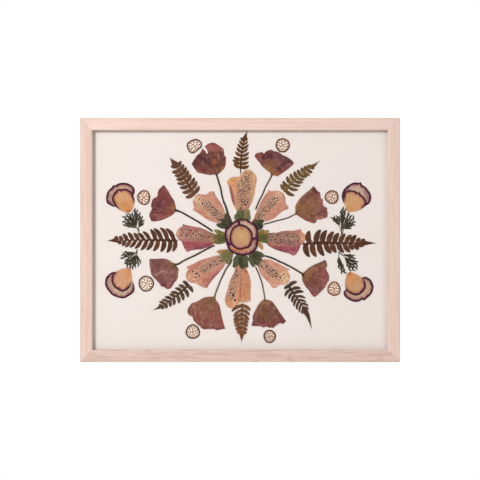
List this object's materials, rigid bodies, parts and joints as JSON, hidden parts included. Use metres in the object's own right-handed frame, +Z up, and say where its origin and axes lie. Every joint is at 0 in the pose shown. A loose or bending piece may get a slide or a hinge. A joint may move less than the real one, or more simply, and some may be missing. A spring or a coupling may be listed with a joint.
{
  "type": "pressed flower frame",
  "caption": "Wall picture frame in pale mitred wood with dried flowers, ferns, petals and seed slices pressed in rings round a centre on a pale board behind glass.",
  "frame": {"origin": "the point in the wall's plane where the nail goes in, level with the middle notch of the sawtooth hanger, on the frame's middle line", "axes": "+X to the right for someone who looks at the picture, +Y from the glass towards the wall, +Z up"},
  "size_m": [0.422, 0.02, 0.322],
  "materials": {
    "maple": "pale close-grained wood with a blush tone, satin, fine lengthwise grain",
    "glass": "clear picture glass, 2 mm",
    "mount_board": "smooth matt off-white mount board",
    "backing_board": "brown hardboard, matt, fine fibres",
    "zinc_steel": "zinc-plated steel strip, satin",
    "foxglove": "dried petal, peach to plum, veined, with dark freckles",
    "calyx": "dried olive green sepals with fine veins",
    "poppy": "dried petal, plum and ochre, finely pleated",
    "stem": "dried dark stem with lengthwise ribs",
    "fern": "dried brown fern leaf with raised veins",
    "sprig": "dried grey-green scale leaves",
    "seed_slice": "thin dry slice, brown rim, cream lace of cells",
    "corner_petal": "dried petal, tan with a plum rim",
    "centre_petal": "dried petal, mauve-beige with a plum rim"
  },
  "bodies": {
    "root": {"rail_top": "maple", "rail_bottom": "maple", "rail_left": "maple", "rail_right": "maple", "glass": "glass", "mount_board": "mount_board", "backing_board": "backing_board", "hanger": "zinc_steel", "foxglove_n": "foxglove", "foxglove_ne": "foxglove", "foxglove_e": "foxglove", "foxglove_se": "foxglove", "foxglove_s": "foxglove", "foxglove_sw": "foxglove", "foxglove_w": "foxglove", "foxglove_nw": "foxglove", "poppy_nne": "poppy", "poppy_ene": "poppy", "poppy_ese": "poppy", "poppy_sse": "poppy", "poppy_ssw": "poppy", "poppy_wsw": "poppy", "poppy_wnw": "poppy", "poppy_nnw": "poppy", "fern_n": "fern", "fern_ne": "fern", "fern_e": "fern", "fern_se": "fern", "fern_s": "fern", "fern_sw": "fern", "fern_w": "fern", "fern_nw": "fern", "sprig_ne": "sprig", "sprig_se": "sprig", "sprig_sw": "sprig", "sprig_nw": "sprig", "seed_slice_nne": "seed_slice", "seed_slice_ene": "seed_slice", "seed_slice_ese": "seed_slice", "seed_slice_sse": "seed_slice", "seed_slice_ssw": "seed_slice", "seed_slice_wsw": "seed_slice", "seed_slice_wnw": "seed_slice", "seed_slice_nnw": "seed_slice", "corner_petal_back_ne": "corner_petal", "corner_petal_back_se": "corner_petal", "corner_petal_back_sw": "corner_petal", "corner_petal_back_nw": "corner_petal", "corner_petal_front_ne": "corner_petal", "corner_petal_front_se": "corner_petal", "corner_petal_front_sw": "corner_petal", "corner_petal_front_nw": "corner_petal", "centre_petal_right": "centre_petal", "centre_petal_bottom": "centre_petal", "centre_petal_left": "centre_petal", "centre_petal_middle": "centre_petal"}
  },
  "joints": []
}
